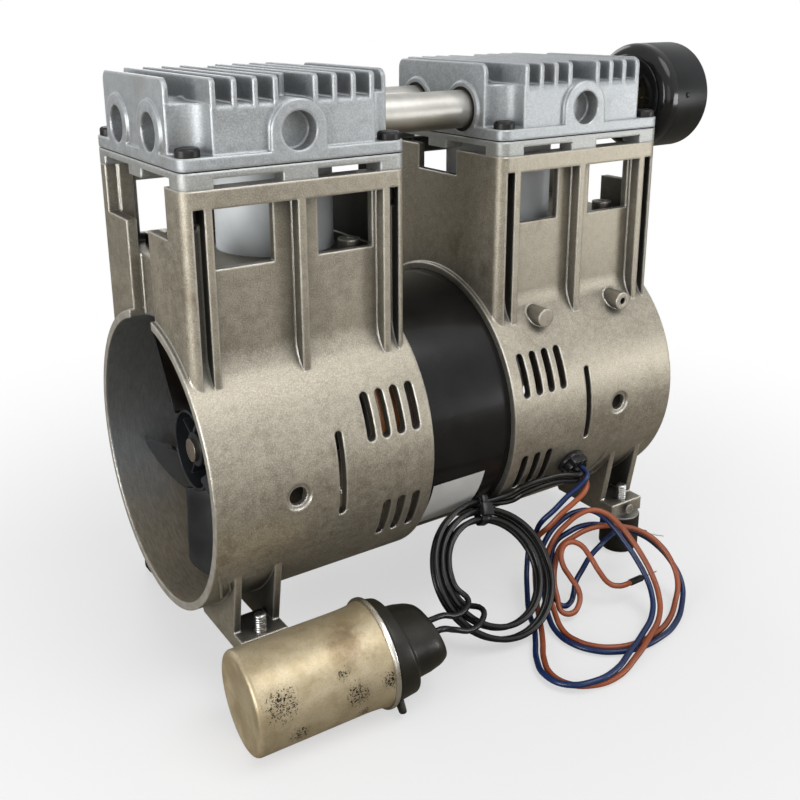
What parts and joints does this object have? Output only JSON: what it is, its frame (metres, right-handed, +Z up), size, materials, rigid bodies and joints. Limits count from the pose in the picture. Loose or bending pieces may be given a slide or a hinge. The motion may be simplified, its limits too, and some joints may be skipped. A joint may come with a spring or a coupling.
{
  "type": "vacuum pump",
  "caption": "Oil-free rocking-piston vacuum pump with finned heads on both ends of a motor, crossover tubes, intake filter, run capacitor and coiled leads.",
  "frame": {"origin": "on the floor, at the middle of the pattern of the four feet", "axes": "+X along the shaft towards the head with the filter, +Y away from the side with the cord gland, +Z up"},
  "size_m": [0.3331, 0.2333, 0.292],
  "materials": {
    "blasted_casting": "blasted die-cast aluminium, dull and warm grey, bright where it is machined",
    "tumbled_casting": "tumbled die-cast aluminium, lighter and smoother than the housings",
    "dark_paint": "glossy black enamel on a rolled steel shell",
    "lamination": "stacked electrical steel",
    "winding": "varnished copper winding",
    "steel": "turned or zinc-plated steel",
    "aluminium": "bare or clear-anodised aluminium",
    "rubber": "black rubber",
    "black_steel": "black oxide on steel",
    "white_plastic": "off-white moulding",
    "felt": "pressed felt",
    "iron": "cast iron",
    "black_plastic": "black glass-filled plastic",
    "brass": "tinned brass",
    "black_lead": "black flexible insulation",
    "supply_lead": "flexible insulation, one wire dark blue and one brown-orange",
    "tinned_copper": "stripped tinned strands behind a black sleeve"
  },
  "bodies": {
    "pump": {"housing_left": "blasted_casting", "housing_right": "blasted_casting", "motor_shell": "dark_paint", "stator_core": "lamination", "stator_windings": "winding", "bearing_left": "steel", "bearing_right": "steel", "through_bolts": "steel", "cylinder_left": "aluminium", "cylinder_right": "aluminium", "valve_plate_left": "aluminium", "valve_plate_right": "aluminium", "reeds_left": "steel", "reeds_right": "steel", "head_gasket_left": "rubber", "head_gasket_right": "rubber", "head_cover_left": "tumbled_casting", "head_cover_right": "tumbled_casting", "head_screws_left": "black_steel", "head_screws_right": "black_steel", "crossover_tube_front": "aluminium", "crossover_tube_back": "aluminium", "tube_seals": "rubber", "filter_nipple": "steel", "filter_base": "black_plastic", "filter_element": "felt", "filter_cover": "black_plastic", "rubber_feet": "rubber", "foot_washers": "steel", "foot_studs": "steel", "cord_gland": "rubber", "capacitor_can": "aluminium", "capacitor_rim": "aluminium", "capacitor_terminals": "brass", "capacitor_boot": "rubber", "cable_tie": "black_plastic", "black_leads": "black_lead", "black_coil": "black_lead", "black_tails": "black_lead", "supply_leads": "supply_lead", "supply_coil": "supply_lead", "supply_tails": "supply_lead", "wire_tips": "tinned_copper"},
    "rotor": {"shaft": "steel", "rotor_core": "lamination", "eccentric_left": "iron", "eccentric_right": "iron", "fan_left": "black_plastic", "fan_right": "black_plastic"},
    "rod_right": {"rod_right": "aluminium", "rod_bearing_right": "steel", "piston_cup_right": "white_plastic", "cup_retainer_right": "steel", "cup_screw_right": "steel"},
    "rod_left": {"rod_left": "aluminium", "rod_bearing_left": "steel", "piston_cup_left": "white_plastic", "cup_retainer_left": "steel", "cup_screw_left": "steel"}
  },
  "joints": [
    {"name": "shaft_turn", "type": "hinge", "parent": "pump", "child": "rotor", "pos_m": [0, 0, 0.1], "axis": [1, 0, 0], "continuous": true},
    {"name": "crank_right", "type": "hinge", "parent": "rotor", "child": "rod_right", "pos_m": [0.0712, 0.0045, 0.1], "axis": [1, 0, 0], "continuous": true},
    {"name": "crank_left", "type": "hinge", "parent": "rotor", "child": "rod_left", "pos_m": [-0.0712, -0.0045, 0.1], "axis": [1, 0, 0], "continuous": true}
  ],
  "couplings": [
    {"joint": "crank_right", "follows": "shaft_turn", "ratio": -1},
    {"joint": "crank_left", "follows": "shaft_turn", "ratio": -1}
  ]
}
